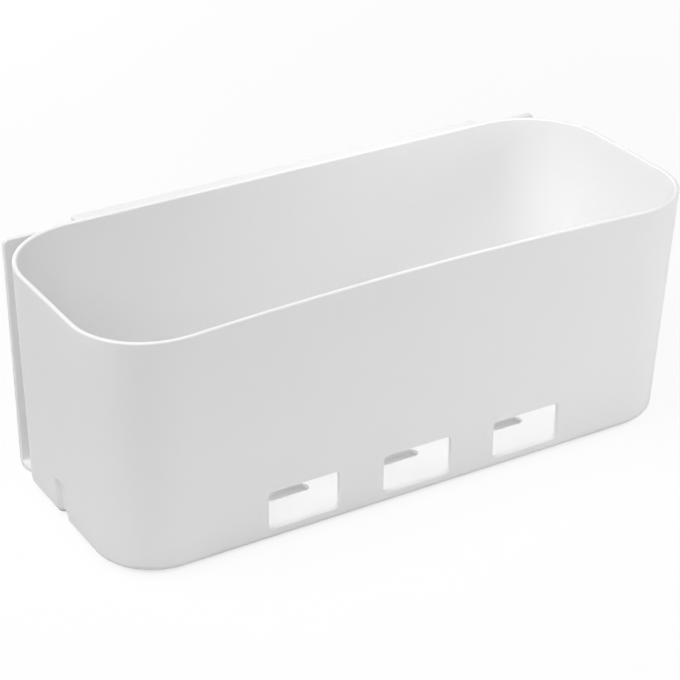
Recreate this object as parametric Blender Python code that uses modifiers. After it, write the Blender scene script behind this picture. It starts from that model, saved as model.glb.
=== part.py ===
"""Wall-mounted storage bin: an open tub that hooks over a backing plate with a ledge.

Metres, +Z up. X runs along the bin, the front is at -Y and the wall is the plane y = 0.
The origin is the middle of the wall side of the centre mounting pad.
"""
import math

import bmesh
import bpy
from mathutils import Matrix, Vector

# Driving dimensions of the bin
RIM_LENGTH = 0.300            # outside length at the rim
RIM_DEPTH = 0.1283            # outside depth at the rim, front corners to rear wall
BIN_HEIGHT = 0.1141           # underside to rim
WALL = 0.0022                 # wall and floor thickness
RIM_FRONT_RADIUS = 0.0389     # plan radius of the front corners at the rim
RIM_REAR_RADIUS = 0.0400      # plan radius of the rear corners at the rim
BASE_FRONT_RADIUS = 0.0288    # plan radius of the front corners at the base
BASE_REAR_RADIUS = 0.0200     # plan radius of the rear corners at the base
END_TAPER = 0.0057            # how far each end wall leans in from rim to base
FRONT_TAPER = 0.0116          # how far the front wall leans in from rim to base
REAR_TAPER = 0.0044           # how far the rear wall leans in from rim to base
FRONT_BOW = 0.0082            # how far the middle of the front rim is drawn in
BASE_ROUNDING = 0.0035        # rounding between the walls and the underside
RIM_ROUNDING = 0.0009         # rounding on both sides of the rim

# Openings at the foot of the front wall, and the drain slots behind them
WINDOW_COUNT = 3
WINDOW_PITCH = 0.0578
WINDOW_WIDTH = 0.0349
WINDOW_HEIGHT = 0.0186
WINDOW_SILL = 0.0060          # underside of the bin to the lower edge of an opening
WINDOW_CORNER = 0.0021
SLOT_LENGTH = 0.0356
SLOT_WIDTH = 0.0062
SLOT_SETBACK = 0.0282         # middle of a slot behind the foot of the front wall

# Grooves pressed into the end walls, open at the underside
GROOVE_WIDTH = 0.0100
GROOVE_HEIGHT = 0.0195
GROOVE_DEPTH = 0.0022
GROOVE_SETBACK = 0.0547       # middle of a groove in front of the rear rim
GROOVE_CORNER = 0.0014

# Hooking rail behind the rear rim
RAIL_LENGTH = 0.2130
RAIL_THICKNESS = 0.0020
RAIL_DROP = 0.0060            # how far the rail's rear leg hangs below its top web
RAIL_SINK = 0.0001            # the rail's top below the crown of the rim
RAIL_END_RADIUS = 0.0015
RAIL_ROUNDING = 0.0007

# Backing plate and its ledge
PLATE_LENGTH = 0.2804
PLATE_THICKNESS = 0.0024
PLATE_TOP_RADIUS = 0.0025
BEND_RADIUS = 0.0012          # inside radius between plate and ledge
LEDGE_DEPTH = 0.0131          # ledge in front of the plate's face
LEDGE_CORNER_RADIUS = 0.0100
PLATE_EDGE_ROUNDING = 0.0004

# Foam mounting pads behind the plate
PAD_NAMES = ("foam_pad_left", "foam_pad_centre", "foam_pad_right")
PAD_LENGTH = 0.060
PAD_HEIGHT = 0.080
PAD_THICKNESS = 0.0030
PAD_PITCH = 0.090
PAD_LIFT = 0.012              # lower edge of the pads above the underside of the bin
PAD_CORNER = 0.0040

# Clearances
SEAT = 0.0003                 # between pieces that rest on each other
PLATE_CLEARANCE = 0.0006      # between the rear rim and the plate's face
LEG_CLEARANCE = 0.0003        # between the plate and the rail's leg
CUT_OVERLAP = 0.004           # how far a cutter runs past the faces that it cuts

# Fineness of the curved forms
CORNER_STEPS = 24             # facets in a plan corner
FRONT_STEPS = 24              # facets along the bowed front
ROUNDING_STEPS = 5            # facets in the rounding at the base and in the plate's bend
WALL_STEPS = 4                # rings up a wall
RIM_STEPS = 3                 # facets in each rounding of the rim and the rail
CUT_STEPS = 4                 # facets in a corner of an opening or a groove
SLOT_STEPS = 8                # facets in a round corner of a drain slot or the ledge
EDGE_STEPS = 2                # facets in the broken edges of the plate
ROUND_PROFILE = 0.5           # shape of a bevel that makes a part of a circle
EDGE_ANGLE = math.radians(60)     # edges sharper than this are rounded
SHADING_ANGLE = math.radians(30)  # edges sharper than this stay sharp in shading
MERGE = 0.00001

# Places that follow from the sizes above
BASE_Z = -(PAD_LIFT + PAD_HEIGHT / 2)
PAD_FRONT_Y = -PAD_THICKNESS
PLATE_FACE_Y = PAD_FRONT_Y - SEAT - PLATE_THICKNESS
RIM_REAR_Y = PLATE_FACE_Y - PLATE_CLEARANCE
RAIL_TOP = BIN_HEIGHT - RAIL_SINK
PLATE_TOP = RAIL_TOP - RAIL_THICKNESS - SEAT
LEDGE_TOP = -SEAT
RAIL_REACH = PLATE_CLEARANCE + PLATE_THICKNESS + LEG_CLEARANCE + RAIL_THICKNESS
END_SLOPE = END_TAPER / BIN_HEIGHT
SLOT_END_RADIUS = SLOT_WIDTH / 2 - MERGE
BASE_FRONT_Y = -RIM_DEPTH + FRONT_TAPER
BASE_HALF_LENGTH = RIM_LENGTH / 2 - END_TAPER


def clear_scene():
    for old in list(bpy.data.objects):
        bpy.data.objects.remove(old, do_unlink=True)


def new_collection(name):
    collection = bpy.data.collections.new(name)
    bpy.context.scene.collection.children.link(collection)
    return collection


def new_material(name, colour, roughness):
    material = bpy.data.materials.new(name)
    material.use_nodes = True
    shader = material.node_tree.nodes["Principled BSDF"]
    shader.inputs["Base Color"].default_value = (*colour, 1.0)
    shader.inputs["Roughness"].default_value = roughness
    shader.inputs["Metallic"].default_value = 0.0
    return material


def make_object(name, bm, collection, material=None):
    """Turn a bmesh into a named object in a collection."""
    bmesh.ops.recalc_face_normals(bm, faces=bm.faces[:])
    mesh = bpy.data.meshes.new(name)
    bm.to_mesh(mesh)
    bm.free()
    made = bpy.data.objects.new(name, mesh)
    collection.objects.link(made)
    if material is not None:
        mesh.materials.append(material)
    return made


def make_tool(name, bm, collection, target):
    """Make a hidden cutting or joining shape in the frame of the piece that it works on."""
    tool = make_object(name, bm, collection)
    tool.location = target.location
    tool.display_type = "WIRE"
    tool.hide_render = True
    return tool


def combine(target, tool, operation):
    boolean = target.modifiers.new(tool.name, "BOOLEAN")
    boolean.operation = operation
    boolean.solver = "EXACT"
    boolean.object = tool


def add_rounded_box(bm, low, high, axis, radius, steps):
    """Add a box between two corners, with the four edges along one axis rounded."""
    low = Vector(low)
    high = Vector(high)
    size = high - low
    placement = Matrix.Translation((low + high) / 2) @ Matrix.Diagonal((*size, 1.0))
    corners = bmesh.ops.create_cube(bm, size=1.0, matrix=placement)["verts"]
    edges = {edge for corner in corners for edge in corner.link_edges}
    along = []
    for edge in edges:
        direction = edge.verts[1].co - edge.verts[0].co
        if abs(direction[axis]) > direction.length / 2:
            along.append(edge)
    bmesh.ops.bevel(bm, geom=along, offset=radius, segments=steps, profile=ROUND_PROFILE,
                    affect="EDGES")


def lean(bm, slope, side):
    """Lean upright faces outwards with height, to follow the draft of an end wall."""
    for vert in bm.verts:
        vert.co.x += side * slope * vert.co.z


def blend(at_base, at_rim, height):
    return at_base + (at_rim - at_base) * height / BIN_HEIGHT


def corner_arc(centre_x, centre_y, radius, start):
    """Points of a quarter circle, anticlockwise from a start angle in degrees."""
    points = []
    for step in range(CORNER_STEPS + 1):
        angle = math.radians(start + 90 * step / CORNER_STEPS)
        points.append((centre_x + radius * math.cos(angle), centre_y + radius * math.sin(angle)))
    return points


def bin_section(height, inset):
    """Plan outline of the bin at a height, drawn in by an inset, anticlockwise from the rear left."""
    half = blend(BASE_HALF_LENGTH, RIM_LENGTH / 2, height) - inset
    front = blend(BASE_FRONT_Y, -RIM_DEPTH, height) + inset
    rear = blend(-REAR_TAPER, 0.0, height) - inset
    front_radius = blend(BASE_FRONT_RADIUS, RIM_FRONT_RADIUS, height) - inset
    rear_radius = blend(BASE_REAR_RADIUS, RIM_REAR_RADIUS, height) - inset
    bow = blend(0.0, FRONT_BOW, height)

    points = corner_arc(-half + rear_radius, rear - rear_radius, rear_radius, 90)
    points += corner_arc(-half + front_radius, front + front_radius, front_radius, 180)
    straight = 2 * (half - front_radius)
    for step in range(1, FRONT_STEPS):
        points.append((-straight / 2 + straight * step / FRONT_STEPS, front))
    points += corner_arc(half - front_radius, front + front_radius, front_radius, 270)
    points += corner_arc(half - rear_radius, rear - rear_radius, rear_radius, 0)

    bowed = []
    for x, y in points:
        nearness = (rear - y) / (rear - front)
        bowed.append((x, y + bow * nearness * (1 - (x / half) ** 2)))
    return bowed


def bin_shell():
    """Outside skin of the bin, open at the rim: a rounded foot, then drafted walls."""
    levels = []
    for step in range(ROUNDING_STEPS + 1):
        angle = math.radians(90 * step / ROUNDING_STEPS)
        height = BASE_ROUNDING * (1 - math.cos(angle))
        levels.append((height, BASE_ROUNDING * (1 - math.sin(angle))))
    for step in range(1, WALL_STEPS + 1):
        levels.append((BASE_ROUNDING + (BIN_HEIGHT - BASE_ROUNDING) * step / WALL_STEPS, 0.0))

    bm = bmesh.new()
    rings = []
    for height, inset in levels:
        rings.append([bm.verts.new((x, y, height)) for x, y in bin_section(height, inset)])
    bm.faces.new(reversed(rings[0]))
    for lower, upper in zip(rings, rings[1:]):
        for here in range(len(lower)):
            after = (here + 1) % len(lower)
            bm.faces.new((lower[here], lower[after], upper[after], upper[here]))
    return bm


def rail_shape():
    """Hooking rail: a top web behind the rim and a leg that hangs behind the plate."""
    half = RAIL_LENGTH / 2
    web_low = RAIL_TOP - RAIL_THICKNESS
    leg_front = RAIL_REACH - RAIL_THICKNESS
    profile = [
        (-WALL / 2, web_low),
        (-WALL / 2, RAIL_TOP),
        (RAIL_REACH, RAIL_TOP),
        (RAIL_REACH, web_low - RAIL_DROP),
        (leg_front, web_low - RAIL_DROP),
        (leg_front, web_low),
    ]
    bm = bmesh.new()
    start = bm.faces.new([bm.verts.new((-half, y, z)) for y, z in profile])
    grown = bmesh.ops.extrude_face_region(bm, geom=[start])["geom"]
    moved = [item for item in grown if isinstance(item, bmesh.types.BMVert)]
    bmesh.ops.translate(bm, verts=moved, vec=(RAIL_LENGTH, 0, 0))

    def at_rear_top(vert):
        return abs(vert.co.y - RAIL_REACH) < MERGE and abs(vert.co.z - RAIL_TOP) < MERGE

    ends = [e for e in bm.edges if abs(e.verts[0].co.x - e.verts[1].co.x) < MERGE
            and all(abs(v.co.z - RAIL_TOP) < MERGE for v in e.verts)]
    bmesh.ops.bevel(bm, geom=ends, offset=RAIL_END_RADIUS, segments=RIM_STEPS,
                    profile=ROUND_PROFILE, affect="EDGES")
    crown = [e for e in bm.edges if all(at_rear_top(v) for v in e.verts)]
    bmesh.ops.bevel(bm, geom=crown, offset=RAIL_ROUNDING, segments=RIM_STEPS,
                    profile=ROUND_PROFILE, affect="EDGES")
    return bm


def window_places():
    middle = (WINDOW_COUNT - 1) / 2
    return [(number - middle) * WINDOW_PITCH for number in range(WINDOW_COUNT)]


def window_shapes():
    """Openings through the foot of the front wall, with rounded corners."""
    bm = bmesh.new()
    for x in window_places():
        low = (x - WINDOW_WIDTH / 2, -RIM_DEPTH - CUT_OVERLAP, WINDOW_SILL)
        high = (x + WINDOW_WIDTH / 2, BASE_FRONT_Y + WALL + CUT_OVERLAP, WINDOW_SILL + WINDOW_HEIGHT)
        add_rounded_box(bm, low, high, 1, WINDOW_CORNER, CUT_STEPS)
    return bm


def slot_shapes():
    """Round-ended drain slots through the floor, one behind each opening."""
    middle = BASE_FRONT_Y + SLOT_SETBACK
    bm = bmesh.new()
    for x in window_places():
        low = (x - SLOT_LENGTH / 2, middle - SLOT_WIDTH / 2, -CUT_OVERLAP)
        high = (x + SLOT_LENGTH / 2, middle + SLOT_WIDTH / 2, WALL + CUT_OVERLAP)
        add_rounded_box(bm, low, high, 2, SLOT_END_RADIUS, SLOT_STEPS)
    return bm


def groove_shapes(side):
    """The recess in an end wall, and the thickening that backs it inside."""
    face = side * BASE_HALF_LENGTH
    groove = bmesh.new()
    depth_x = face - side * GROOVE_DEPTH
    outside_x = face + side * CUT_OVERLAP
    add_rounded_box(
        groove,
        (min(depth_x, outside_x), -GROOVE_SETBACK - GROOVE_WIDTH / 2, -CUT_OVERLAP),
        (max(depth_x, outside_x), -GROOVE_SETBACK + GROOVE_WIDTH / 2, GROOVE_HEIGHT),
        2, GROOVE_CORNER, CUT_STEPS)
    lean(groove, END_SLOPE, side)

    backing = bmesh.new()
    inside_x = depth_x - side * WALL
    within_x = face - side * WALL / 2
    half_width = GROOVE_WIDTH / 2 + WALL
    add_rounded_box(
        backing,
        (min(inside_x, within_x), -GROOVE_SETBACK - half_width, WALL / 2),
        (max(inside_x, within_x), -GROOVE_SETBACK + half_width, GROOVE_HEIGHT + WALL),
        2, GROOVE_CORNER / 2, CUT_STEPS)
    lean(backing, END_SLOPE, side)
    return groove, backing


def make_bin(collection, tools, material):
    made = make_object("bin", bin_shell(), collection, material)
    made.location = (0, RIM_REAR_Y, BASE_Z)

    shell = made.modifiers.new("wall", "SOLIDIFY")
    shell.thickness = WALL
    shell.offset = -1
    shell.use_even_offset = True
    rim = made.modifiers.new("rim", "BEVEL")
    rim.limit_method = "ANGLE"
    rim.angle_limit = EDGE_ANGLE
    rim.width = RIM_ROUNDING
    rim.segments = RIM_STEPS

    for side, end in ((-1, "left"), (1, "right")):
        groove, backing = groove_shapes(side)
        combine(made, make_tool("backing_" + end, backing, tools, made), "UNION")
        combine(made, make_tool("groove_" + end, groove, tools, made), "DIFFERENCE")
    combine(made, make_tool("rail", rail_shape(), tools, made), "UNION")
    combine(made, make_tool("windows", window_shapes(), tools, made), "DIFFERENCE")
    combine(made, make_tool("drain_slots", slot_shapes(), tools, made), "DIFFERENCE")
    return made


def plate_skin():
    """Bin-side skin of the plate: an upright web, a bend and a ledge, with rounded corners."""
    path = [(0.0, PLATE_TOP)]
    for step in range(ROUNDING_STEPS + 1):
        angle = math.radians(90 * step / ROUNDING_STEPS)
        y = -BEND_RADIUS * (1 - math.cos(angle))
        z = LEDGE_TOP + BEND_RADIUS * (1 - math.sin(angle))
        path.append((y, z))
    path.append((-LEDGE_DEPTH, LEDGE_TOP))

    half = PLATE_LENGTH / 2
    bm = bmesh.new()
    left = [bm.verts.new((-half, y, z)) for y, z in path]
    right = [bm.verts.new((half, y, z)) for y, z in path]
    for here in range(len(path) - 1):
        bm.faces.new((left[here + 1], right[here + 1], right[here], left[here]))
    top_corners = [left[0], right[0]]
    ledge_corners = [left[-1], right[-1]]
    bmesh.ops.bevel(bm, geom=ledge_corners, offset=LEDGE_CORNER_RADIUS, segments=SLOT_STEPS,
                    profile=ROUND_PROFILE, affect="VERTICES")
    bmesh.ops.bevel(bm, geom=top_corners, offset=PLATE_TOP_RADIUS, segments=CUT_STEPS,
                    profile=ROUND_PROFILE, affect="VERTICES")
    return bm


def make_plate(collection, material):
    bm = plate_skin()
    mesh = bpy.data.meshes.new("back_plate")
    bm.to_mesh(mesh)
    bm.free()
    mesh.materials.append(material)
    made = bpy.data.objects.new("back_plate", mesh)
    collection.objects.link(made)
    made.location = (0, PLATE_FACE_Y, BASE_Z)

    sheet = made.modifiers.new("thickness", "SOLIDIFY")
    sheet.thickness = PLATE_THICKNESS
    sheet.offset = -1
    sheet.use_even_offset = True
    edge = made.modifiers.new("edges", "BEVEL")
    edge.limit_method = "ANGLE"
    edge.angle_limit = EDGE_ANGLE
    edge.width = PLATE_EDGE_ROUNDING
    edge.segments = EDGE_STEPS
    return made


def make_pads(collection, material):
    middle = (len(PAD_NAMES) - 1) / 2
    for number, name in enumerate(PAD_NAMES):
        bm = bmesh.new()
        add_rounded_box(
            bm,
            (-PAD_LENGTH / 2, -PAD_THICKNESS, -PAD_HEIGHT / 2),
            (PAD_LENGTH / 2, 0.0, PAD_HEIGHT / 2),
            1, PAD_CORNER, CUT_STEPS)
        pad = make_object(name, bm, collection, material)
        pad.location = ((number - middle) * PAD_PITCH, 0.0, 0.0)


def shade(collection):
    """Smooth the rounded forms and keep the true edges sharp."""
    for piece in collection.objects:
        piece.data.shade_smooth()
        piece.data.set_sharp_from_angle(angle=SHADING_ANGLE)


def build():
    clear_scene()
    parts = new_collection("storage_bin")
    tools = new_collection("cutters")
    white = new_material("white polypropylene", (0.83, 0.83, 0.84), 0.42)
    plate_white = new_material("white polypropylene plate", (0.82, 0.82, 0.83), 0.46)
    foam = new_material("white foam", (0.74, 0.74, 0.72), 0.85)
    make_bin(parts, tools, white)
    make_plate(parts, plate_white)
    make_pads(parts, foam)
    shade(parts)


build()
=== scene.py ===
# %% [markdown]
# # A white storage bin hooked on its backing plate
# The real object is two injection mouldings and some foam. A thin-walled bin hangs by a rail on the top
# edge of a flat plate, its rear foot resting on the plate's small ledge, and foam pads hold the plate
# to a wall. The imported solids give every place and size. Here the same forms are made again with finer
# curves, rounded cut edges and real finishes, then lit and seen as in a catalogue picture.

# %% Load the fixed frame
import math

import bmesh
import bpy
from mathutils import Matrix, Vector


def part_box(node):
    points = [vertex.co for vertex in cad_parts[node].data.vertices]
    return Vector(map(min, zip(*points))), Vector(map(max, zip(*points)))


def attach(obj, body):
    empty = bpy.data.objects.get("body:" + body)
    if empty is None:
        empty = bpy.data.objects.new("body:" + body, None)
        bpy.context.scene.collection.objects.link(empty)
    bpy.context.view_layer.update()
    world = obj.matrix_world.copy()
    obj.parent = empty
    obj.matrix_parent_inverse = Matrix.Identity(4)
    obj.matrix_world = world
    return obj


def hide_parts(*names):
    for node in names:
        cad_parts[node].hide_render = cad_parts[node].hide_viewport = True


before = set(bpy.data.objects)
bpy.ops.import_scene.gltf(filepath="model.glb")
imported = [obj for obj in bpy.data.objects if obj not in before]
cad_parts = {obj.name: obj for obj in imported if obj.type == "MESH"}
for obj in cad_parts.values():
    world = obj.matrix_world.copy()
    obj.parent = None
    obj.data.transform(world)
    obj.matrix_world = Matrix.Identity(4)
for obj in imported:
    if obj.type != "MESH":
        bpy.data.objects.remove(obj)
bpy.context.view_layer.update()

# %% [markdown]
# ## The sizes
# All sizes are in metres and are those of the solids. A moulding is drawn from few sizes: two outlines,
# one at the rim and one at the foot, and one wall thickness. Keeping them as named values means that
# each form below is worked out by a rule instead of being placed by eye.

# %% Sizes of the bin
RIM_LENGTH = 0.300
RIM_DEPTH = 0.1283
BIN_HEIGHT = 0.1141
WALL = 0.0022
RIM_FRONT_RADIUS = 0.0389
RIM_REAR_RADIUS = 0.0400
BASE_FRONT_RADIUS = 0.0288
BASE_REAR_RADIUS = 0.0200
END_TAPER = 0.0057
FRONT_TAPER = 0.0116
REAR_TAPER = 0.0044
FRONT_BOW = 0.0082
BASE_ROUNDING = 0.0035
RIM_ROUNDING = 0.0009
FLOOR_FILLET = 0.0013
BASE_FRONT_Y = -RIM_DEPTH + FRONT_TAPER
BASE_HALF_LENGTH = RIM_LENGTH / 2 - END_TAPER

# %% Sizes of the openings, slots and grooves
WINDOW_COUNT = 3
WINDOW_PITCH = 0.0578
WINDOW_WIDTH = 0.0349
WINDOW_HEIGHT = 0.0186
WINDOW_SILL = 0.0060
WINDOW_CORNER = 0.0021
SLOT_LENGTH = 0.0356
SLOT_WIDTH = 0.0062
SLOT_SETBACK = 0.0282
GROOVE_WIDTH = 0.0100
GROOVE_HEIGHT = 0.0195
GROOVE_DEPTH = 0.0022
GROOVE_SETBACK = 0.0547
GROOVE_EDGE = 0.0012

# %% Sizes of the rail, the plate and the pads
RAIL_LENGTH = 0.2130
RAIL_THICKNESS = 0.0020
RAIL_DROP = 0.0060
RAIL_SINK = 0.0001
RAIL_END_RADIUS = 0.0015
RAIL_ROUNDING = 0.0007
RAIL_REACH = 0.0053
PLATE_LENGTH = 0.2804
PLATE_THICKNESS = 0.0024
PLATE_TOP_RADIUS = 0.0025
PLATE_EDGE_ROUNDING = 0.0004
BEND_RADIUS = 0.0012
LEDGE_DEPTH = 0.0131
LEDGE_CORNER_RADIUS = 0.0100
PAD_COUNT = 3
PAD_PITCH = 0.090
PAD_CORNER = 0.0040

# %% Places read from the frame
bin_low, bin_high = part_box("bin")
plate_low, plate_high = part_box("back_plate")
pad_low, pad_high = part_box("foam_pad_centre")
BIN_PLACE = Vector((0.0, bin_high.y - RAIL_REACH, bin_low.z))
PLATE_PLACE = Vector((0.0, plate_high.y - PLATE_THICKNESS, plate_low.z + PLATE_THICKNESS))
PLATE_HEIGHT = plate_high.z - PLATE_PLACE.z
print("bin at", BIN_PLACE, "plate at", PLATE_PLACE, "pads", tuple(pad_high - pad_low))

# %% [markdown]
# ## Small helpers
# Three things are needed again and again: a loft that skins a row of rings, an outline with round
# corners, and a way to turn a stack of modifiers into a plain mesh. A loft is the natural tool for
# mouldings, because a drafted wall is nothing but one outline that changes a little with height.

# %% Loft, rounded outline, quarter turns
CORNER_STEPS = 24
EDGE_STEPS = 6


def quarter_turn(steps):
    """Angles from 0 to 90 degrees, in radians."""
    return [math.radians(90 * step / steps) for step in range(steps + 1)]


def loft(rings):
    """Skin a row of rings of points, anticlockwise about their row, and cap both ends."""
    bm = bmesh.new()
    made = [[bm.verts.new(point) for point in ring] for ring in rings]
    for lower, upper in zip(made, made[1:]):
        for here in range(len(lower)):
            after = (here + 1) % len(lower)
            bm.faces.new((lower[here], lower[after], upper[after], upper[here]))
    bm.faces.new(list(reversed(made[0])))
    bm.faces.new(made[-1])
    return bm


def rounded_rectangle(width, height, radius, steps):
    """Anticlockwise outline about the origin."""
    points = []
    for quarter, (side_x, side_y) in enumerate(((1, 1), (-1, 1), (-1, -1), (1, -1))):
        for angle in quarter_turn(steps):
            turned = angle + math.radians(90 * quarter)
            points.append((side_x * (width / 2 - radius) + radius * math.cos(turned),
                           side_y * (height / 2 - radius) + radius * math.sin(turned)))
    return points


def new_object(name, bm):
    """Turn a bmesh into an object in the scene."""
    mesh = bpy.data.meshes.new(name)
    bm.to_mesh(mesh)
    bm.free()
    made = bpy.data.objects.new(name, mesh)
    bpy.context.scene.collection.objects.link(made)
    return made


def discard(*pieces):
    """Remove helpers that have done their work."""
    for piece in pieces:
        bpy.data.objects.remove(piece, do_unlink=True)


def plain_mesh(piece):
    """Turn the object's modifiers into its mesh."""
    bpy.context.view_layer.update()
    graph = bpy.context.evaluated_depsgraph_get()
    mesh = bpy.data.meshes.new_from_object(piece.evaluated_get(graph), depsgraph=graph)
    piece.modifiers.clear()
    piece.data = mesh
    return piece


def combine(piece, tool, operation):
    """Add an exact Boolean with a tool."""
    step = piece.modifiers.new(operation.lower(), "BOOLEAN")
    step.operation = operation
    step.solver = "EXACT"
    step.object = tool


def report(piece):
    """Print how big a piece is and how many triangles it has."""
    piece.data.calc_loop_triangles()
    size = [round(1000 * v, 1) for v in piece.dimensions]
    print(piece.name, "mm", size, "triangles", len(piece.data.loop_triangles))


# %% [markdown]
# ## A small function for nodes
# Geometry and material trees are both built from nodes. One function adds a node, sets its properties
# and fills or links its inputs, so that a tree reads as a list of what it does.

# %% Add a node
def add_node(tree, kind, inputs=None, **settings):
    """Add a node; an input is given by name or number, as a value or as another node's output."""
    node = tree.nodes.new(kind)
    for key, value in settings.items():
        setattr(node, key, value)
    for key, value in (inputs or {}).items():
        if isinstance(value, bpy.types.NodeSocket):
            tree.links.new(value, node.inputs[key])
        else:
            node.inputs[key].default_value = value
    return node


# %% [markdown]
# ## One tree for everything that repeats
# The openings, the slots, the pads and the ejector marks are each one shape repeated in a row or in two
# rows. An Array modifier could do this, but not the small shift that lets the openings follow the bowed
# front. So a Geometry Nodes tree sets out a grid of points, shifts them by the same rule as the wall,
# puts the shape on each one and makes the copies real.

# %% Build the repeating tree
def repeating_tree():
    """The tree, and the identifier of each of its inputs."""
    tree = bpy.data.node_groups.new("repeat in rows", "GeometryNodeTree")
    sockets = {}
    for label, kind in (("Shape", "NodeSocketObject"),
                        ("Columns", "NodeSocketInt"), ("Rows", "NodeSocketInt"),
                        ("Pitch", "NodeSocketFloat"), ("Row pitch", "NodeSocketFloat"),
                        ("Bow", "NodeSocketFloat"), ("Half length", "NodeSocketFloat"),
                        ("Upright", "NodeSocketBool"), ("Material", "NodeSocketMaterial")):
        sockets[label] = tree.interface.new_socket(label, in_out="INPUT", socket_type=kind).identifier
    tree.interface.new_socket("Geometry", in_out="OUTPUT", socket_type="NodeSocketGeometry")
    given = add_node(tree, "NodeGroupInput").outputs

    def maths(operation, first, second):
        return add_node(tree, "ShaderNodeMath", {0: first, 1: second}, operation=operation).outputs[0]

    length = maths("MULTIPLY", maths("SUBTRACT", given["Columns"], 1.0), given["Pitch"])
    depth = maths("MULTIPLY", maths("SUBTRACT", given["Rows"], 1.0), given["Row pitch"])
    column = add_node(tree, "GeometryNodeMeshLine", {
        "Count": given["Columns"],
        "Start Location": add_node(tree, "ShaderNodeCombineXYZ", {
            "X": maths("MULTIPLY", length, -0.5)}).outputs[0],
        "Offset": add_node(tree, "ShaderNodeCombineXYZ", {"X": given["Pitch"]}).outputs[0]})
    start = maths("MULTIPLY", depth, -0.5)
    flat = add_node(tree, "ShaderNodeCombineXYZ", {"Y": start})
    tall = add_node(tree, "ShaderNodeCombineXYZ", {"Z": start})
    flat_step = add_node(tree, "ShaderNodeCombineXYZ", {"Y": given["Row pitch"]})
    tall_step = add_node(tree, "ShaderNodeCombineXYZ", {"Z": given["Row pitch"]})
    row_start = add_node(tree, "GeometryNodeSwitch", {
        0: given["Upright"], 1: flat.outputs[0], 2: tall.outputs[0]}, input_type="VECTOR")
    row_step = add_node(tree, "GeometryNodeSwitch", {
        0: given["Upright"], 1: flat_step.outputs[0], 2: tall_step.outputs[0]}, input_type="VECTOR")
    row = add_node(tree, "GeometryNodeMeshLine", {
        "Count": given["Rows"], "Start Location": row_start.outputs[0], "Offset": row_step.outputs[0]})

    grid = add_node(tree, "GeometryNodeInstanceOnPoints", {
        "Points": column.outputs[0], "Instance": row.outputs[0]})
    points = add_node(tree, "GeometryNodeRealizeInstances", {0: grid.outputs[0]})
    place = add_node(tree, "ShaderNodeSeparateXYZ", {
        0: add_node(tree, "GeometryNodeInputPosition").outputs[0]})
    share = maths("DIVIDE", place.outputs["X"], given["Half length"])
    fade = maths("SUBTRACT", 1.0, maths("MULTIPLY", share, share))
    bowed = add_node(tree, "GeometryNodeSetPosition", {
        "Geometry": points.outputs[0],
        "Offset": add_node(tree, "ShaderNodeCombineXYZ", {
            "Y": maths("MULTIPLY", fade, given["Bow"])}).outputs[0]})
    shape = add_node(tree, "GeometryNodeObjectInfo", {"Object": given["Shape"]})
    copies = add_node(tree, "GeometryNodeInstanceOnPoints", {
        "Points": bowed.outputs[0], "Instance": shape.outputs["Geometry"]})
    real = add_node(tree, "GeometryNodeRealizeInstances", {0: copies.outputs[0]})
    dressed = add_node(tree, "GeometryNodeSetMaterial", {
        "Geometry": real.outputs[0], "Material": given["Material"]})
    add_node(tree, "NodeGroupOutput", {0: dressed.outputs[0]})
    return tree, sockets


REPEAT_TREE, REPEAT_SOCKETS = repeating_tree()


def repeat(name, shape, **values):
    """Repeat a shape with the tree and keep the copies as one plain mesh."""
    host = new_object(name, bmesh.new())
    rows = host.modifiers.new("rows", "NODES")
    rows.node_group = REPEAT_TREE
    settings = {"Shape": shape, "Columns": 1, "Rows": 1, "Pitch": 0.0, "Row pitch": 0.0, "Bow": 0.0,
                "Half length": 1.0, "Upright": False, "Material": None}
    settings.update({key.replace("_", " "): value for key, value in values.items()})
    for label, value in settings.items():
        rows[REPEAT_SOCKETS[label]] = value
    if settings["Material"]:
        shape.data.materials.append(settings["Material"])
    plain_mesh(host)
    discard(shape)
    print(name, "repeated", settings["Columns"] * settings["Rows"], "times")
    return host


# %% [markdown]
# ## The bin's outline
# Seen from above, the bin is a box with large round corners whose front is drawn in a little between
# them. Its walls lean outwards so that it comes out of the mould. The outline at any height is a blend
# of the one at the foot and the one at the rim. The groove in each end wall is pressed into the same
# outline with a soft step, on the inside too, so the wall stays equally thick.

# %% Outline of the bin at a height
FRONT_STEPS = 48
REAR_STEPS = 24
END_STEPS = 5
GROOVE_STEPS = 38
GROOVE_ZONE = GROOVE_WIDTH / 2 + WALL + GROOVE_EDGE


def blend(at_foot, at_rim, height):
    """A size at a height, from its values at the foot and the rim."""
    return at_foot + (at_rim - at_foot) * height / BIN_HEIGHT


def soft_step(value):
    """Rise from 0 to 1 without a corner."""
    value = min(max(value, 0.0), 1.0)
    return value * value * (3 - 2 * value)


def groove_depth(y, height, inside):
    """How far the end wall is pressed in at a depth and a height."""
    spread = WALL if inside else 0.0
    across = soft_step((GROOVE_WIDTH / 2 + spread - abs(y + GROOVE_SETBACK)) / GROOVE_EDGE + 0.5)
    upwards = soft_step((GROOVE_HEIGHT + spread - height) / GROOVE_EDGE + 0.5)
    return GROOVE_DEPTH * across * upwards


def corner(centre_x, centre_y, radius, start):
    """A quarter round that begins at an angle in degrees."""
    turns = [angle + math.radians(start) for angle in quarter_turn(CORNER_STEPS)]
    return [(centre_x + radius * math.cos(turn), centre_y + radius * math.sin(turn)) for turn in turns]


def between(start, end, steps):
    """Values from start to end, without start."""
    return [start + (end - start) * step / steps for step in range(1, steps + 1)]


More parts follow.
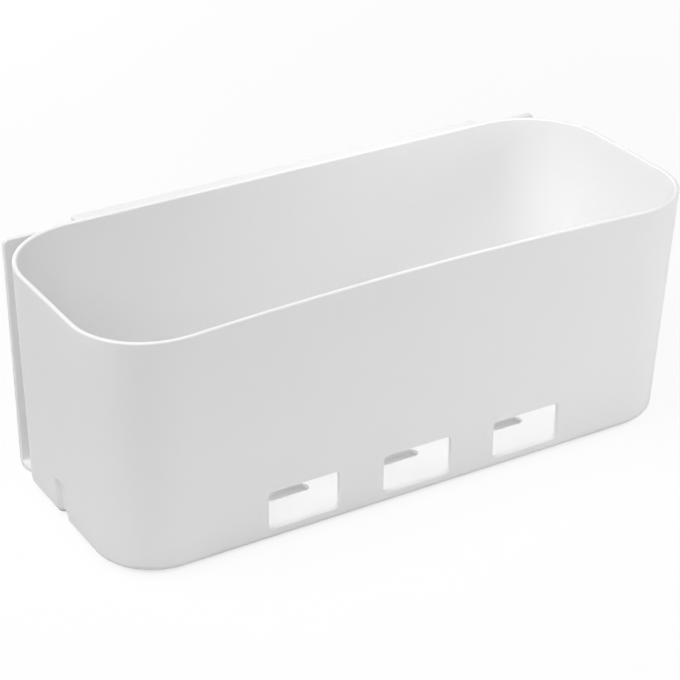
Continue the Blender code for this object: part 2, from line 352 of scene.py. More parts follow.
def bin_ring(height, inset, inside):
    """The bin's outline at a height, drawn in by an inset."""
    half = blend(BASE_HALF_LENGTH, RIM_LENGTH / 2, height) - inset
    front = blend(BASE_FRONT_Y, -RIM_DEPTH, height) + inset
    rear = blend(-REAR_TAPER, 0.0, height) - inset
    front_radius = blend(BASE_FRONT_RADIUS, RIM_FRONT_RADIUS, height) - inset
    rear_radius = blend(BASE_REAR_RADIUS, RIM_REAR_RADIUS, height) - inset
    groove_rear = -GROOVE_SETBACK + GROOVE_ZONE
    groove_front = -GROOVE_SETBACK - GROOVE_ZONE
    end_wall = between(rear - rear_radius, groove_rear, END_STEPS)
    end_wall += between(groove_rear, groove_front, GROOVE_STEPS)
    end_wall += between(groove_front, front + front_radius, END_STEPS)[:-1]
    straight = half - front_radius
    flat = half - rear_radius

    points = corner(-flat, rear - rear_radius, rear_radius, 90)
    points += [(-half + groove_depth(y, height, inside), y) for y in end_wall]
    points += corner(-straight, front + front_radius, front_radius, 180)
    points += [(x, front) for x in between(-straight, straight, FRONT_STEPS)[:-1]]
    points += corner(straight, front + front_radius, front_radius, 270)
    points += [(half - groove_depth(y, height, inside), y) for y in reversed(end_wall)]
    points += corner(flat, rear - rear_radius, rear_radius, 0)
    points += [(x, rear) for x in between(flat, -flat, REAR_STEPS)[:-1]]

    bow = blend(0.0, FRONT_BOW, height)
    return [(x, y + bow * (rear - y) / (rear - front) * (1 - (x / half) ** 2), height) for x, y in points]


# %% [markdown]
# ## The bin's wall
# A second rule says how the outline is drawn in along the wall: round the foot, up the outside, over
# the rim, down the inside and out onto the floor. A Solidify modifier would give the same wall, but
# this way the rim and the foot get true round sections and the floor a narrow flat ring, which keeps
# its shading flat.

# %% Rows from the underside over the rim to the floor
FLAT_RING = 0.0006
FOOT_STEPS = 12
FINE_STEPS = 8


def wall_heights(start, end, groove_top):
    """Heights up the wall, close together where the groove ends."""
    low = groove_top - GROOVE_EDGE
    high = groove_top + GROOVE_EDGE
    heights = between(start, low, END_STEPS) + between(low, high, FINE_STEPS)
    return heights + between(high, end, CORNER_STEPS // 2)


def bin_rows():
    """Height, inset and side of each ring, from the underside to the floor."""
    rim_start = BIN_HEIGHT - RIM_ROUNDING
    rows = [(0.0, BASE_ROUNDING + FLAT_RING, False)]
    for angle in quarter_turn(FOOT_STEPS):
        rows.append((BASE_ROUNDING * (1 - math.cos(angle)), BASE_ROUNDING * (1 - math.sin(angle)), False))
    rows += [(height, 0.0, False) for height in wall_heights(BASE_ROUNDING, rim_start, GROOVE_HEIGHT)]
    for angle in quarter_turn(EDGE_STEPS)[1:]:
        rows.append((rim_start + RIM_ROUNDING * math.sin(angle),
                     RIM_ROUNDING * (1 - math.cos(angle)), False))
    for angle in reversed(quarter_turn(EDGE_STEPS)):
        rows.append((rim_start + RIM_ROUNDING * math.sin(angle),
                     WALL - RIM_ROUNDING * (1 - math.cos(angle)), True))
    floor_start = WALL + FLOOR_FILLET
    inner = wall_heights(floor_start, rim_start, GROOVE_HEIGHT + WALL)
    rows += [(height, WALL, True) for height in reversed(inner[:-1])]
    for angle in quarter_turn(EDGE_STEPS):
        rows.append((floor_start - FLOOR_FILLET * math.sin(angle),
                     WALL + FLOOR_FILLET * (1 - math.cos(angle)), True))
    rows.append((WALL, WALL + FLOOR_FILLET + FLAT_RING, True))
    return rows


bin_piece = new_object("moulded_bin", loft([bin_ring(*row) for row in bin_rows()]))
report(bin_piece)

# %% [markdown]
# ## The openings in the foot of the front wall
# Each opening is an oblong with small corner radii. Cut edges on a moulding are never knife-sharp, so
# the cutter flares where it meets either face: its outline grows along a quarter round. The sill, over
# which water is wiped out, has a larger round on the outside than the other edges. The flare stops a
# little before it lies flat on the wall, which keeps the cut clean.

# %% A cutter with flared ends
CUT_ROUNDING = 0.0005
SILL_ROUNDING = 0.0013
CUT_REACH = 0.0040
FLARE_END = math.radians(70)


def flare(place, face, rounding):
    """How much a cutter grows at a place along it, where it leaves the wall through a face."""
    sweep = (place - face) / rounding + math.sin(FLARE_END)
    curved = min(max(sweep, 0.0), math.sin(FLARE_END))
    straight = min(max(sweep - curved, 0.0), 0.5)
    return rounding * (1 - math.sqrt(1 - curved * curved) + straight * math.tan(FLARE_END))


def flare_places(face, rounding):
    """Places along a cutter at which its flare is sampled."""
    angles = [FLARE_END * step / EDGE_STEPS for step in range(EDGE_STEPS + 1)]
    places = [face + rounding * (math.sin(angle) - math.sin(FLARE_END)) for angle in angles]
    return places + [face + rounding / 2, face + CUT_REACH]


def flared_cutter(name, width, height, corner_radius, thickness, steps, low_rounding=CUT_ROUNDING):
    """A cutter along +Z through a wall above z = 0; its low edge may have a larger outer round."""
    places = {round(thickness - place, 7) for place in flare_places(thickness, CUT_ROUNDING)}
    for rounding in {CUT_ROUNDING, low_rounding}:
        places.update(round(place, 7) for place in flare_places(thickness, rounding))
    rings = []
    for place in sorted(places):
        growth = max(flare(place, thickness, CUT_ROUNDING),
                     flare(thickness - place, thickness, CUT_ROUNDING))
        drop = max(flare(place, thickness, low_rounding), growth) - growth
        outline = rounded_rectangle(width + 2 * growth, height + 2 * growth, corner_radius + growth, steps)
        rings.append([(x, y - drop if y < 0 else y, place) for x, y in outline])
    return new_object(name, loft(rings))


# %% Place the openings on the leaning, bowed wall
window_middle = WINDOW_SILL + WINDOW_HEIGHT / 2
window_bow = blend(0.0, FRONT_BOW, window_middle)
wall_lean = math.atan((FRONT_BOW - FRONT_TAPER) / BIN_HEIGHT)
window_tool = flared_cutter("opening", WINDOW_WIDTH, WINDOW_HEIGHT, WINDOW_CORNER, WALL, EDGE_STEPS,
                            low_rounding=SILL_ROUNDING)
window_front = blend(BASE_FRONT_Y, -RIM_DEPTH, window_middle)
outer_face = Matrix.Translation((0.0, window_front, window_middle))
turned = Matrix.Rotation(math.radians(90) - wall_lean, 4, "X")
window_tool.data.transform(outer_face @ turned @ Matrix.Translation((0.0, 0.0, -WALL)))
windows = repeat("openings", window_tool, Columns=WINDOW_COUNT, Pitch=WINDOW_PITCH,
                 Bow=window_bow, Half_length=BASE_HALF_LENGTH)
print("the front leans", round(math.degrees(wall_lean), 2), "degrees at its middle")

# %% [markdown]
# ## The drain slots
# Behind each opening the floor has a slot with round ends, a little narrower than a pencil. It is the
# same kind of cutter, laid flat and repeated on the same pitch, without the bow.

# %% Cut the drain slots
slot_radius = SLOT_WIDTH / 2 - CUT_ROUNDING / 10
slot_tool = flared_cutter("slot", SLOT_LENGTH, SLOT_WIDTH, slot_radius, WALL, EDGE_STEPS * 2)
slot_tool.data.transform(Matrix.Translation((0.0, BASE_FRONT_Y + SLOT_SETBACK, 0.0)))
slots = repeat("slots", slot_tool, Columns=WINDOW_COUNT, Pitch=WINDOW_PITCH)

# %% [markdown]
# ## The marks of the mould
# Flat round pins push a moulding off the steel core and leave shallow discs inside, and the plastic
# enters through a gate that leaves a small dish with a stub under the floor. They are shallow, so they
# are cut as thin discs, the pins' in a grid and the gate's alone.

# %% Pin marks and gate mark
PIN_RADIUS = 0.0035
PIN_DEPTH = 0.00012
PIN_PITCH = 0.105
PIN_ROW_PITCH = 0.050
GATE_RADIUS = 0.0060
GATE_DEPTH = 0.0006
GATE_STUB_RADIUS = 0.0009
GATE_STUB_HEIGHT = 0.8
GATE_STUB_TAPER = 0.9
PIN_OVERCUT = 4
DISC_STEPS = 48


def disc_rings(profile):
    """Rings of a turned form from (radius, height) pairs."""
    full = 2 * math.pi
    turns = [full * step / DISC_STEPS for step in range(DISC_STEPS)]
    return [[(radius * math.cos(turn), radius * math.sin(turn), height) for turn in turns]
            for radius, height in profile]


def pin_tool(name):
    """A shallow disc cut into the plane z = 0, with a rounded edge."""
    return new_object(name, loft(disc_rings([
        (PIN_RADIUS - PIN_DEPTH, -PIN_DEPTH), (PIN_RADIUS, 0.0),
        (PIN_RADIUS + PIN_DEPTH, PIN_DEPTH * PIN_OVERCUT)])))


floor_pin = pin_tool("pin")
floor_middle = (BASE_FRONT_Y - REAR_TAPER) / 2
floor_pin.data.transform(Matrix.Translation((0.0, floor_middle + PIN_ROW_PITCH / 6, WALL)))
floor_pins = repeat("floor_pins", floor_pin, Columns=3, Rows=2, Pitch=PIN_PITCH, Row_pitch=PIN_ROW_PITCH)
gate = new_object("gate", loft(disc_rings([
    (GATE_RADIUS + GATE_DEPTH, -GATE_DEPTH), (GATE_RADIUS, 0.0), (GATE_RADIUS - GATE_DEPTH, GATE_DEPTH),
    (GATE_STUB_RADIUS + GATE_DEPTH / 2, GATE_DEPTH), (GATE_STUB_RADIUS, GATE_DEPTH * GATE_STUB_HEIGHT),
    (GATE_STUB_RADIUS * GATE_STUB_TAPER, GATE_DEPTH / 3)])))
gate.data.transform(Matrix.Translation((0.0, floor_middle, 0.0)))
gate.data.update()

# %% [markdown]
# ## The hooking rail
# Behind the rear rim runs a rail: a web level with the rim and a leg that drops behind the plate's top
# edge. It is a short section drawn along its length. Near each end the section is cut back along a
# quarter round, which gives the ends the round corners that show against the background.

# %% Section and ends of the rail
def rounded_path(corners, steps):
    """Points along a closed outline given as (y, z, radius), with each corner rounded."""
    points = []
    for here, (y, z, radius) in enumerate(corners):
        place = Vector((y, z))
        before = (Vector(corners[here - 1][:2]) - place).normalized()
        after = (Vector(corners[(here + 1) % len(corners)][:2]) - place).normalized()
        if radius == 0.0:
            points.append(tuple(place))
            continue
        start = place + before * radius
        end = place + after * radius
        centre = place + (before + after) * radius
        for angle in quarter_turn(steps):
            points.append(tuple(centre + (start - centre) * math.cos(angle)
                                + (end - centre) * math.sin(angle)))
    return points


def rail_ring(x, cut_back):
    """The rail's section at a place along it."""
    top = BIN_HEIGHT - RAIL_SINK
    low = top - RAIL_THICKNESS
    leg = RAIL_REACH - RAIL_THICKNESS
    section = rounded_path([
        (-WALL / 2, top, 0.0), (-WALL / 2, low, 0.0), (leg, low, RAIL_ROUNDING / 2),
        (leg, low - RAIL_DROP, RAIL_ROUNDING), (RAIL_REACH, low - RAIL_DROP, RAIL_ROUNDING),
        (RAIL_REACH, top, RAIL_ROUNDING)], EDGE_STEPS)
    return [(x, min(y, RAIL_REACH - cut_back), z) for y, z in section]


def rail_rings():
    """The rail's sections from end to end."""
    half = RAIL_LENGTH / 2
    ends = [(half - RAIL_END_RADIUS * (1 - math.sin(angle)), RAIL_END_RADIUS * (1 - math.cos(angle)))
            for angle in quarter_turn(EDGE_STEPS)]
    rings = [rail_ring(-x, cut_back) for x, cut_back in reversed(ends)]
    return rings + [rail_ring(x, cut_back) for x, cut_back in ends]


rail = new_object("rail", loft(rail_rings()))
bpy.context.view_layer.update()
report(rail)

# %% [markdown]
# ## Joining and cutting the bin
# All of these are one moulding, so the shapes are joined and cut in one stack of exact Booleans and
# kept as one mesh. Weighted normals then let the large flat faces rule the shading, so the roundings
# stay crisp.

# %% Put the moulding together
SMOOTH_ANGLE = math.radians(40)
WELD_DISTANCE = 0.000001


def smooth(piece):
    """Weld the doubled points that a Boolean leaves, then shade the piece smoothly between its edges."""
    bm = bmesh.new()
    bm.from_mesh(piece.data)
    bmesh.ops.remove_doubles(bm, verts=bm.verts[:], dist=WELD_DISTANCE)
    bm.to_mesh(piece.data)
    bm.free()
    piece.data.shade_smooth()
    piece.data.set_sharp_from_angle(angle=SMOOTH_ANGLE)
    weigh = piece.modifiers.new("weighted normals", "WEIGHTED_NORMAL")
    weigh.keep_sharp = True
    return plain_mesh(piece)


combine(bin_piece, rail, "UNION")
for tool in (windows, slots, floor_pins, gate):
    combine(bin_piece, tool, "DIFFERENCE")
plain_mesh(bin_piece)
discard(rail, windows, slots, floor_pins, gate)
bin_piece.data.transform(Matrix.Translation(BIN_PLACE))
smooth(bin_piece)
report(bin_piece)

# %% [markdown]
# ## The backing plate
# The plate is a flat sheet with a ledge along its foot. It starts as a thin skin with an upright part,
# a bend and a ledge, with its corners rounded in the flat. Solidify gives the skin its thickness and
# Bevel breaks the edges. Pin marks in the back, between the pads, show how it left the mould.

# %% Skin of the plate
PLATE_BEND_STEPS = 10
ROUND_PROFILE = 0.5
EDGE_ANGLE = math.radians(60)
path = [(0.0, PLATE_HEIGHT)]
for angle in quarter_turn(PLATE_BEND_STEPS):
    path.append((-BEND_RADIUS * (1 - math.cos(angle)), BEND_RADIUS * (1 - math.sin(angle))))
path.append((-LEDGE_DEPTH, 0.0))

bm = bmesh.new()
left = [bm.verts.new((-PLATE_LENGTH / 2, y, z)) for y, z in path]
right = [bm.verts.new((PLATE_LENGTH / 2, y, z)) for y, z in path]
for here in range(len(path) - 1):
    bm.faces.new((left[here + 1], right[here + 1], right[here], left[here]))
top_corners = [left[0], right[0]]
bmesh.ops.bevel(bm, geom=[left[-1], right[-1]], offset=LEDGE_CORNER_RADIUS, segments=CORNER_STEPS,
                profile=ROUND_PROFILE, affect="VERTICES")
bmesh.ops.bevel(bm, geom=top_corners, offset=PLATE_TOP_RADIUS, segments=EDGE_STEPS,
                profile=ROUND_PROFILE, affect="VERTICES")
plate_piece = new_object("backing_plate", bm)
print("plate skin", len(plate_piece.data.polygons), "faces")

# %% Thickness, edges and pin marks of the plate
sheet = plate_piece.modifiers.new("thickness", "SOLIDIFY")
sheet.thickness = PLATE_THICKNESS
sheet.offset = -1
sheet.use_even_offset = True
edge = plate_piece.modifiers.new("edges", "BEVEL")
edge.limit_method = "ANGLE"
edge.angle_limit = EDGE_ANGLE
edge.width = PLATE_EDGE_ROUNDING
edge.segments = EDGE_STEPS // 2
plate_pin = pin_tool("pin")
plate_pin.data.transform(Matrix.Translation((0.0, PLATE_THICKNESS, PLATE_HEIGHT / 2))
                         @ Matrix.Rotation(math.radians(-90), 4, "X"))
plate_pins = repeat("plate_pins", plate_pin, Columns=2, Rows=2, Pitch=PAD_PITCH, Row_pitch=PIN_ROW_PITCH,
                    Upright=True)
combine(plate_piece, plate_pins, "DIFFERENCE")
plain_mesh(plate_piece)
discard(plate_pins)
plate_piece.data.transform(Matrix.Translation(PLATE_PLACE))
smooth(plate_piece)
report(plate_piece)

# %% [markdown]
# ## Colours and materials
# A colour is picked as a screen value, written in hexadecimal, but a shader adds up light, so it wants
# linear values. One function turns one into the other. The foam and its film have their materials from
# here on, because the tree that repeats the pads gives them; their nodes follow further down.

# %% Linear colours, first materials
def linear(hex_colour):
    """Turn an sRGB hex colour into the linear values that a shader takes."""
    values = []
    for start in (0, 2, 4):
        value = int(hex_colour[start:start + 2], 16) / 255
        values.append(value / 12.92 if value <= 0.04045 else ((value + 0.055) / 1.055) ** 2.4)
    return (*values, 1.0)


def new_material(name):
    """A material with its tree and its main shader."""
    material = bpy.data.materials.new(name)
    material.use_nodes = True
    return material, material.node_tree, material.node_tree.nodes["Principled BSDF"]


foam_material, foam_tree, foam_shader = new_material("closed-cell polyethylene foam, die-cut")
film_material, film_tree, film_shader = new_material("acrylic adhesive film, coated")
print("linear value of F4F4F4:", round(linear("F4F4F4")[0], 3))

# %% [markdown]
# ## The foam pads
# Each pad is die-cut from a sheet of closed-cell foam that carries a thin film of adhesive on both
# faces. The die squeezes the foam, so its sides draw in a little between the films. One pad is lofted
# through its thickness, and the tree sets out the row of three. Foam and film are separate pieces with
# their own finish.

# %% Loft one pad and its films, and repeat them
FILM_THICKNESS = 0.00012
FOAM_PINCH = 0.00035
FOAM_STEPS = 8
pad_size = pad_high - pad_low


def pad_layer(name, start, end, pinch, rows):
    """A layer of a pad from one depth behind its front to another, its sides drawn in by a pinch."""
    rings = []
    for row in range(rows + 1):
        share = row / rows
        inset = pinch * (1 - (2 * share - 1) ** 2)
        outline = rounded_rectangle(pad_size.x - 2 * inset, pad_size.z - 2 * inset,
                                    PAD_CORNER - inset, EDGE_STEPS)
        rings.append([(x, pad_low.y + start + (end - start) * share, -z) for x, z in outline])
    return new_object(name, loft(rings))


foam_end = pad_size.y - FILM_THICKNESS
one_pad = pad_layer("pad", FILM_THICKNESS, foam_end, FOAM_PINCH, FOAM_STEPS)
foam_pads = repeat("foam_pads", one_pad, Columns=PAD_COUNT, Pitch=PAD_PITCH, Material=foam_material)
one_film = pad_layer("film", 0.0, FILM_THICKNESS, 0.0, 1)
front_film = repeat("adhesive_film_plate_side", one_film,
                    Columns=PAD_COUNT, Pitch=PAD_PITCH, Material=film_material)
one_film = pad_layer("film", foam_end, pad_size.y, 0.0, 1)
rear_film = repeat("adhesive_film_wall_side", one_film,
                   Columns=PAD_COUNT, Pitch=PAD_PITCH, Material=film_material)
for piece in (foam_pads, front_film, rear_film):
    smooth(piece)
    report(piece)

# %% [markdown]
# ## The plastic: moulded polypropylene
# Polypropylene from a fine spark-eroded mould is satin white. It reflects softly, lets a little light
# in under its surface, and is never perfectly even: the melt leaves broad, faint clouds in the gloss,
# and the mould's grain breaks up the highlights. The grain is drawn coarser than the real 0.1 mm so
# that it shows.

# %% Polypropylene material
PLASTIC_IOR = 1.49
SURFACE_GLOSS = 0.35
CLOUD_SIZE = 0.045
CLOUD_DETAIL = 3.0
CLOUD_CONTRAST = 0.6
GRAIN_SIZE = 0.0007
GRAIN_DETAIL = 2.0
GRAIN_HEIGHT = 0.00002
GRAIN_STRENGTH = 0.35
MILKINESS = 0.12
LIGHT_DEPTH = 0.0012
BIN_WHITES = ("F4F4F4", "F2F2F2")
BIN_ROUGHNESS = (0.46, 0.56)
PLATE_WHITES = ("F2F2F2", "EFEFEF")
PLATE_ROUGHNESS = (0.48, 0.58)


def polypropylene(name, whites, roughness):
    """A satin white plastic between two whites and two roughnesses."""
    light_hex, dark_hex = whites
    smoothest, roughest = roughness
    material, tree, shader = new_material(name)
    place = add_node(tree, "ShaderNodeTexCoord").outputs["Object"]
    clouds = add_node(tree, "ShaderNodeTexNoise", {
        "Vector": place, "Scale": 1 / CLOUD_SIZE,
        "Detail": CLOUD_DETAIL, "Roughness": CLOUD_CONTRAST}).outputs["Fac"]
    colour = add_node(tree, "ShaderNodeMix", {
        "Factor": clouds, "A": linear(dark_hex), "B": linear(light_hex)}, data_type="RGBA")
    gloss = add_node(tree, "ShaderNodeMapRange", {
        "Value": clouds, "To Min": smoothest, "To Max": roughest}).outputs["Result"]
    grain = add_node(tree, "ShaderNodeTexNoise", {
        "Vector": place, "Scale": 1 / GRAIN_SIZE, "Detail": GRAIN_DETAIL}).outputs["Fac"]
    bump = add_node(tree, "ShaderNodeBump", {
        "Height": grain, "Strength": GRAIN_STRENGTH, "Distance": GRAIN_HEIGHT})
    tree.links.new(colour.outputs["Result"], shader.inputs["Base Color"])
    tree.links.new(gloss, shader.inputs["Roughness"])
    tree.links.new(bump.outputs["Normal"], shader.inputs["Normal"])
    shader.inputs["IOR"].default_value = PLASTIC_IOR
    shader.inputs["Specular IOR Level"].default_value = SURFACE_GLOSS
    shader.inputs["Subsurface Weight"].default_value = MILKINESS
    shader.inputs["Subsurface Radius"].default_value = (1.0, 1.0, 1.0)
    shader.inputs["Subsurface Scale"].default_value = LIGHT_DEPTH
    return material


bin_plastic = polypropylene("polypropylene, injection moulded, satin", BIN_WHITES, BIN_ROUGHNESS)
plate_plastic = polypropylene("polypropylene, injection moulded, plate", PLATE_WHITES, PLATE_ROUGHNESS)
for piece, plastic in ((bin_piece, bin_plastic), (plate_piece, plate_plastic)):
    piece.data.materials.clear()
    piece.data.materials.append(plastic)
print("plastics", bin_plastic.name, "|", plate_plastic.name)

# %% [markdown]
# ## The foam
# Closed-cell foam is matt and full of cells about half a millimetre wide, drawn a little coarser here,
# which show as pits where the die cut them. A Voronoi texture is a set of cells, so its distance draws
# both the pits and a painted shade that darkens their middles.

# %% Foam material
CELL_SIZE = 0.0007
PIT_DEPTH = 0.0003
PIT_STRENGTH = 0.6
FOAM_ROUGHNESS = 0.9
foam_place = add_node(foam_tree, "ShaderNodeTexCoord").outputs["Object"]
cells = add_node(foam_tree, "ShaderNodeTexVoronoi", {
    "Vector": foam_place, "Scale": 1 / CELL_SIZE}).outputs["Distance"]
# The deepest part of each pit is darker: this is painted shade in the pits, not a colour of the foam.
foam_colour_with_pit_shade = add_node(foam_tree, "ShaderNodeMix", {
    "Factor": cells, "A": linear("DBDAD9"), "B": linear("F1F0EF")}, data_type="RGBA")
foam_bump = add_node(foam_tree, "ShaderNodeBump", {
    "Height": cells, "Strength": PIT_STRENGTH, "Distance": PIT_DEPTH})
foam_tree.links.new(foam_colour_with_pit_shade.outputs["Result"], foam_shader.inputs["Base Color"])
foam_tree.links.new(foam_bump.outputs["Normal"], foam_shader.inputs["Normal"])
foam_shader.inputs["Roughness"].default_value = FOAM_ROUGHNESS
print("foam cells", round(CELL_SIZE * 1000, 2), "mm wide")

# %% [markdown]
# ## The adhesive film
# The film is coated on the foam and has a faint gloss. It never lies quite flat, so a slow, shallow
# ripple runs through it and bends what it reflects.

# %% Film material
RIPPLE_SIZE = 0.006
RIPPLE_DETAIL = 2.0
RIPPLE_HEIGHT = 0.0001
RIPPLE_STRENGTH = 0.3
FILM_ROUGHNESS = 0.28
film_place = add_node(film_tree, "ShaderNodeTexCoord").outputs["Object"]
ripple = add_node(film_tree, "ShaderNodeTexNoise", {
    "Vector": film_place, "Scale": 1 / RIPPLE_SIZE, "Detail": RIPPLE_DETAIL})
film_colour = add_node(film_tree, "ShaderNodeMix", {
    "Factor": ripple.outputs["Fac"], "A": linear("E3E2E0"), "B": linear("EBEAE9")}, data_type="RGBA")
film_bump = add_node(film_tree, "ShaderNodeBump", {
    "Height": ripple.outputs["Fac"], "Strength": RIPPLE_STRENGTH, "Distance": RIPPLE_HEIGHT})
film_tree.links.new(film_colour.outputs["Result"], film_shader.inputs["Base Color"])
film_tree.links.new(film_bump.outputs["Normal"], film_shader.inputs["Normal"])
film_shader.inputs["Roughness"].default_value = FILM_ROUGHNESS
print("film ripples", RIPPLE_SIZE * 1000, "mm apart")

# %% [markdown]
# ## The floor
# The picture is a cut-out on white. A white board under the bin does the same. To the camera and in
# gloss it shines by itself for the most part and altogether far away, so that no horizon shows, and the
# rest is real light, so a soft shadow stays. Under the bin its glow is turned down, a painted shade that
# makes the drain slots look dark. A strip along the foot has a dark board colour for all other rays, a
# painted shade that gives back less light to the bin. No real board is painted like this: both were set
# by trial, to get the grey of the slots and the dark line under the foot that the picture has.

# %% Floor
FLOOR_REACH = 4.0
FLOOR_WHITE = 0.93
SHADE_WHITE = 0.40
FAR_START = 0.25
FAR_END = 0.90
SHADE_HALF_LENGTH = 0.1405
SHADE_HALF_DEPTH = 0.0525
SHADE_CORNER = 0.025
SHADE_EDGE = 0.006
FOOT_SHADE_REACH = 0.011
FLOOR_ROUGHNESS = 0.9
FLOOR_GAP = 0.0003
floor_z = min(bin_low.z, plate_low.z) - FLOOR_GAP
bm = bmesh.new()
bm.faces.new([bm.verts.new((side_x * FLOOR_REACH, side_y * FLOOR_REACH, floor_z))
              for side_x, side_y in ((-1, -1), (1, -1), (1, 1), (-1, 1))])
floor = new_object("floor", bm)
floor_material, floor_tree, floor_shader = new_material("white board with painted shade")
rays = add_node(floor_tree, "ShaderNodeLightPath").outputs


def floor_maths(operation, first, second):
    return add_node(floor_tree, "ShaderNodeMath", {0: first, 1: second}, operation=operation).outputs[0]


def beyond(value, middle, half):
    """How far a coordinate lies outside half a width, and nothing inside it."""
    offset = floor_maths("ABSOLUTE", floor_maths("SUBTRACT", value, middle), 0.0)
    return floor_maths("MAXIMUM", floor_maths("SUBTRACT", offset, half), 0.0)


def floor_ramp(distance, start, end, low, high):
    """A value that changes with a distance from the foot of the bin."""
    return add_node(floor_tree, "ShaderNodeMapRange", {
        "Value": distance, "From Min": start, "From Max": end,
        "To Min": low, "To Max": high}).outputs["Result"]


mirrored = floor_maths("MAXIMUM", rays["Is Glossy Ray"], rays["Is Transmission Ray"])
seen = floor_maths("MAXIMUM", rays["Is Camera Ray"], mirrored)
spot = add_node(floor_tree, "ShaderNodeSeparateXYZ", {
    0: add_node(floor_tree, "ShaderNodeTexCoord").outputs["Object"]}).outputs
beside = beyond(spot["X"], 0.0, SHADE_HALF_LENGTH - SHADE_CORNER)
in_front = beyond(spot["Y"], BIN_PLACE.y + floor_middle, SHADE_HALF_DEPTH - SHADE_CORNER)
both = floor_maths("ADD", floor_maths("MULTIPLY", beside, beside),
                   floor_maths("MULTIPLY", in_front, in_front))
away = floor_maths("SUBTRACT", floor_maths("SQRT", both, 0.0), SHADE_CORNER)
# Painted shade: under the bin the floor's glow drops to SHADE_WHITE, so the drain slots look dark.
glow_with_painted_shade = floor_ramp(away, -SHADE_EDGE, 0.0, SHADE_WHITE, FLOOR_WHITE)
far_white = floor_ramp(away, FAR_START, FAR_END, 0.0, 1.0 - FLOOR_WHITE)
# Painted shade: close to the foot the board turns dark for light bouncing back to the bin.
painted_foot_shade_ramp = floor_ramp(floor_maths("ABSOLUTE", away, 0.0), 0.0, FOOT_SHADE_REACH, 0.0, 1.0)
share = floor_maths("MULTIPLY", seen, floor_maths("ADD", glow_with_painted_shade, far_white))
glow = add_node(floor_tree, "ShaderNodeEmission", {"Color": linear("FFFFFF"), "Strength": 1.0})
floor_mix = add_node(floor_tree, "ShaderNodeMixShader", {
    0: share, 1: floor_shader.outputs[0], 2: glow.outputs[0]})
floor_tree.links.new(floor_mix.outputs[0], floor_tree.nodes["Material Output"].inputs["Surface"])
# The board's colour carries the painted shade along the foot; the camera and gloss still see it white.
board = add_node(floor_tree, "ShaderNodeMix", {
    "Factor": floor_maths("MAXIMUM", seen, painted_foot_shade_ramp),
    "A": linear("181818"), "B": linear("F6F6F6")}, data_type="RGBA")
floor_tree.links.new(board.outputs["Result"], floor_shader.inputs["Base Color"])
floor_shader.inputs["Roughness"].default_value = FLOOR_ROUGHNESS
floor.data.materials.append(floor_material)
print("floor at", round(floor_z, 4))

# %% [markdown]
# ## The light
# The real picture has the even light of a white studio. Softboxes are squares that shine on one side,
# so a few of them in the places where a photographer stands them are enough. Each lamp was rendered
# alone, and because light adds up, their powers could be fitted together to how bright each wall is in
# the picture. Several sets were tried, so these lamps are a good fit and not the ones that the picture
# was taken with. The world adds almost nothing to the object and is white behind it.

# %% World and lamps
AMBIENT = 0.04
world = bpy.data.worlds.new("studio")
bpy.context.scene.world = world
world.use_nodes = True
world_tree = world.node_tree
world_rays = add_node(world_tree, "ShaderNodeLightPath").outputs
world_mirrored = add_node(world_tree, "ShaderNodeMath", {
    0: world_rays["Is Glossy Ray"], 1: world_rays["Is Transmission Ray"]}, operation="MAXIMUM").outputs[0]
world_seen = add_node(world_tree, "ShaderNodeMath", {
    0: world_rays["Is Camera Ray"], 1: world_mirrored}, operation="MAXIMUM").outputs[0]
ambient = add_node(world_tree, "ShaderNodeBackground", {"Color": linear("FFFFFF"), "Strength": AMBIENT})
white = add_node(world_tree, "ShaderNodeBackground", {"Color": linear("FFFFFF"), "Strength": 1.0})
world_mix = add_node(world_tree, "ShaderNodeMixShader", {
    0: world_seen, 1: ambient.outputs[0], 2: white.outputs[0]})
world_tree.links.new(world_mix.outputs[0], world_tree.nodes["World Output"].inputs["Surface"])

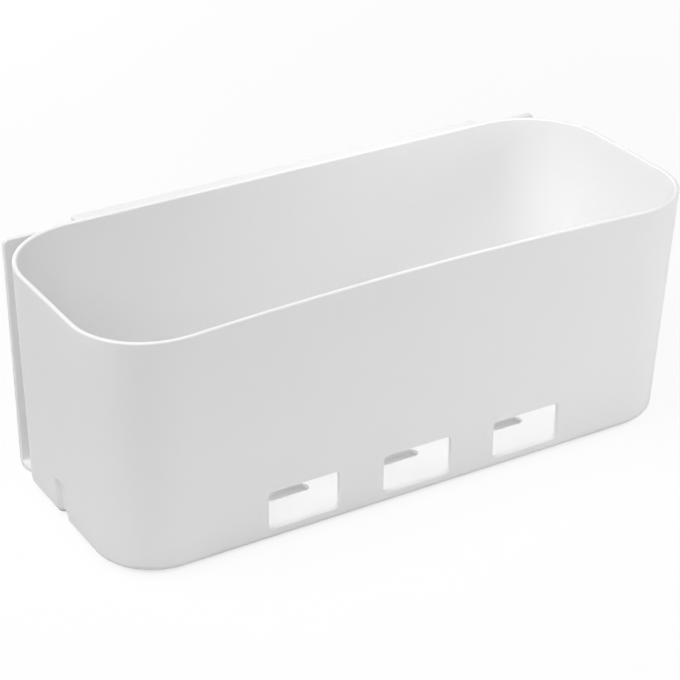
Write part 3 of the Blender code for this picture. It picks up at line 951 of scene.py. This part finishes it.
LAMP_TARGET = Vector((0.0, -0.06, 0.0))
LAMPS = {
    "large softbox, left front": ((-0.65, -0.71, 0.77), 0.80, 2.95),
    "large softbox, front": ((0.0, -0.98, 0.77), 0.80, 1.28),
    "softbox, upper left": ((-0.40, -0.06, 0.75), 0.40, 4.50),
    "low card, right front": ((0.50, -0.50, 0.12), 0.35, 1.32),
    "small card over the bin": ((0.08, -0.06, 0.18), 0.14, 0.088),
    "low card, behind": ((0.0, 0.80, 0.0), 0.25, 4.00),
}
for name, (place, size, power) in LAMPS.items():
    data = bpy.data.lights.new(name, "AREA")
    data.shape = "SQUARE"
    data.size = size
    data.energy = power
    lamp = bpy.data.objects.new(name, data)
    bpy.context.scene.collection.objects.link(lamp)
    lamp.location = place
    lamp.rotation_euler = (LAMP_TARGET - Vector(place)).to_track_quat("-Z", "Y").to_euler()
    lamp.visible_camera = False
print("lamps", list(LAMPS))

# %% [markdown]
# ## The camera
# The camera stands a metre away, to the left of the bin and above it, with a long lens, as the straight
# edges in the picture show. Its direction is kept as three angles and its place follows from them.

# %% Camera
CAMERA_AZIMUTH = math.radians(-30.249)
CAMERA_ELEVATION = math.radians(28.066)
CAMERA_ROLL = math.radians(-0.424)
CAMERA_DISTANCE = 1.03014
CAMERA_LENS = 119.34
AIM_POINT = Vector((-0.00319, -0.0613, -0.00157))
back = Vector((math.sin(CAMERA_AZIMUTH) * math.cos(CAMERA_ELEVATION),
               -math.cos(CAMERA_AZIMUTH) * math.cos(CAMERA_ELEVATION), math.sin(CAMERA_ELEVATION)))
level = Vector((math.cos(CAMERA_AZIMUTH), math.sin(CAMERA_AZIMUTH), 0.0))
upright = back.cross(level)
right_side = level * math.cos(CAMERA_ROLL) + upright * math.sin(CAMERA_ROLL)
up_side = upright * math.cos(CAMERA_ROLL) - level * math.sin(CAMERA_ROLL)
camera_data = bpy.data.cameras.new("camera")
camera_data.lens = CAMERA_LENS
camera = bpy.data.objects.new("camera", camera_data)
bpy.context.scene.collection.objects.link(camera)
turn = Matrix((right_side, up_side, back)).transposed().to_4x4()
camera.matrix_world = Matrix.Translation(AIM_POINT + back * CAMERA_DISTANCE) @ turn
bpy.context.scene.camera = camera
bpy.context.scene.view_settings.view_transform = "Standard"
print("camera at", tuple(round(v, 4) for v in camera.matrix_world.translation))

# %% [markdown]
# ## Riding on the frame
# Each piece now takes the place of its solid and moves with that solid's body: the bin lifts off, and
# the plate, the foam and the films stay on the wall.

# %% Hand the pieces to the frame
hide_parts("bin")
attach(bin_piece, "bin")
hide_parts("back_plate")
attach(plate_piece, "mount")
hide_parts("foam_pad_left", "foam_pad_centre", "foam_pad_right")
for piece in (foam_pads, front_film, rear_film):
    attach(piece, "mount")
